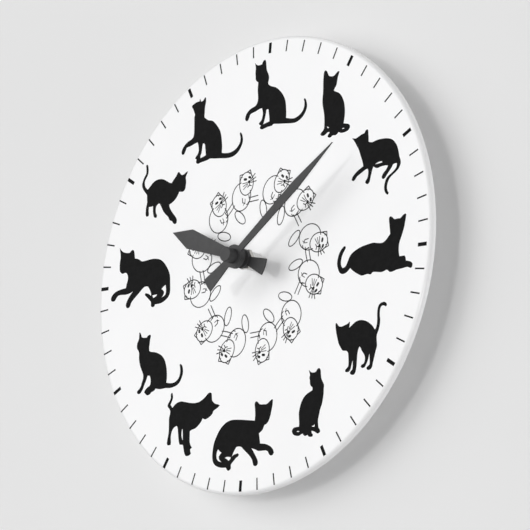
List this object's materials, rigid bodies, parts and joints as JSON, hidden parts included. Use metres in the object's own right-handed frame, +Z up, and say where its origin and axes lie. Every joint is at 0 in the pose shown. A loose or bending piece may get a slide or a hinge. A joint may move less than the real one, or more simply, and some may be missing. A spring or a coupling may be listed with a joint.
{
  "type": "wall clock",
  "caption": "Round white acrylic wall clock with a printed ring of black cat silhouettes, two tapered hands and a battery quartz movement behind.",
  "frame": {"origin": "on the axis of the hands, in the plane of the wall, which is the flat back of the movement case", "axes": "+Y points into the wall, -Y is the way the dial faces, +Z is up towards 12 o'clock and +X is towards 3 o'clock"},
  "size_m": [0.273, 0.048, 0.273],
  "materials": {
    "acrylic_white": "gloss",
    "rubber_black": "matte",
    "nylon_white": "satin",
    "nickel_plate": "satin",
    "brass": "satin",
    "hand_paint": "satin black paint",
    "acetal_natural": "satin",
    "knob_plastic": "matte",
    "magnet_grey": "matte",
    "case_plastic": "matte",
    "zinc_steel": "satin",
    "frame_plastic": "matte",
    "soft_iron": "satin",
    "bobbin_plastic": "matte",
    "enamelled_copper": "gloss",
    "board_laminate": "satin",
    "black_epoxy": "satin",
    "nickel_can": "satin",
    "battery_jacket": "satin printed jacket",
    "contact_steel": "satin"
  },
  "bodies": {
    "clock_body": {"dial_disc": "acrylic_white", "rubber_gasket": "rubber_black", "spacer_sleeve": "nylon_white", "hex_nut": "nickel_plate", "threaded_bush": "brass", "case_front": "case_plastic", "case_back": "case_plastic", "hanger_bracket": "zinc_steel", "middle_plate": "frame_plastic", "train_bridge": "frame_plastic", "stator_plate": "soft_iron", "coil_bobbin": "bobbin_plastic", "coil_winding": "enamelled_copper", "circuit_board": "board_laminate", "chip_blob": "black_epoxy", "quartz_crystal": "nickel_can", "battery_cell": "battery_jacket", "contact_positive": "contact_steel", "contact_negative": "contact_steel"},
    "minute_group": {"minute_hand": "hand_paint", "hand_cap": "hand_paint", "cannon_pinion": "brass"},
    "hour_group": {"hour_hand": "hand_paint", "hour_wheel": "acetal_natural"},
    "minute_reducer": {"minute_wheel": "acetal_natural"},
    "setting_group": {"setting_knob": "knob_plastic"},
    "rotor_group": {"rotor": "acetal_natural", "rotor_magnet": "magnet_grey"},
    "intermediate_group": {"intermediate_wheel": "acetal_natural"},
    "second_group": {"second_wheel": "acetal_natural"},
    "third_group": {"third_wheel": "acetal_natural"},
    "centre_group": {"centre_wheel": "acetal_natural"}
  },
  "joints": [
    {"name": "minute_hand_spin", "type": "hinge", "parent": "clock_body", "child": "minute_group", "pos_m": [0, -0.0128, 0], "axis": [0, 1, 0], "continuous": true},
    {"name": "hour_hand_spin", "type": "hinge", "parent": "clock_body", "child": "hour_group", "pos_m": [0, -0.0145, 0], "axis": [0, 1, 0], "continuous": true},
    {"name": "minute_wheel_spin", "type": "hinge", "parent": "clock_body", "child": "minute_reducer", "pos_m": [-0.01039, -0.0128, 0.006], "axis": [0, 1, 0], "continuous": true},
    {"name": "setting_knob_spin", "type": "hinge", "parent": "clock_body", "child": "setting_group", "pos_m": [-0.01639, -0.0128, -0.00439], "axis": [0, 1, 0], "continuous": true},
    {"name": "rotor_spin", "type": "hinge", "parent": "clock_body", "child": "rotor_group", "pos_m": [0.01571, -0.0052, 0.00291], "axis": [0, 1, 0], "continuous": true},
    {"name": "intermediate_wheel_spin", "type": "hinge", "parent": "clock_body", "child": "intermediate_group", "pos_m": [0.00927, -0.0052, -0.00248], "axis": [0, 1, 0], "continuous": true},
    {"name": "second_wheel_spin", "type": "hinge", "parent": "clock_body", "child": "second_group", "pos_m": [0, -0.0072, 0], "axis": [0, 1, 0], "continuous": true},
    {"name": "third_wheel_spin", "type": "hinge", "parent": "clock_body", "child": "third_group", "pos_m": [0.00317, -0.009, 0.01182], "axis": [0, 1, 0], "continuous": true},
    {"name": "centre_wheel_spin", "type": "hinge", "parent": "clock_body", "child": "centre_group", "pos_m": [0, -0.0111, 0], "axis": [0, 1, 0], "continuous": true}
  ],
  "couplings": [
    {"joint": "hour_hand_spin", "follows": "minute_hand_spin", "ratio": 0.083333},
    {"joint": "minute_wheel_spin", "follows": "minute_hand_spin", "ratio": -0.33333},
    {"joint": "setting_knob_spin", "follows": "minute_hand_spin", "ratio": 1},
    {"joint": "intermediate_wheel_spin", "follows": "rotor_spin", "ratio": -0.16667},
    {"joint": "second_wheel_spin", "follows": "rotor_spin", "ratio": 0.033333},
    {"joint": "third_wheel_spin", "follows": "rotor_spin", "ratio": -0.0044444},
    {"joint": "centre_wheel_spin", "follows": "rotor_spin", "ratio": 0.00055556}
  ]
}
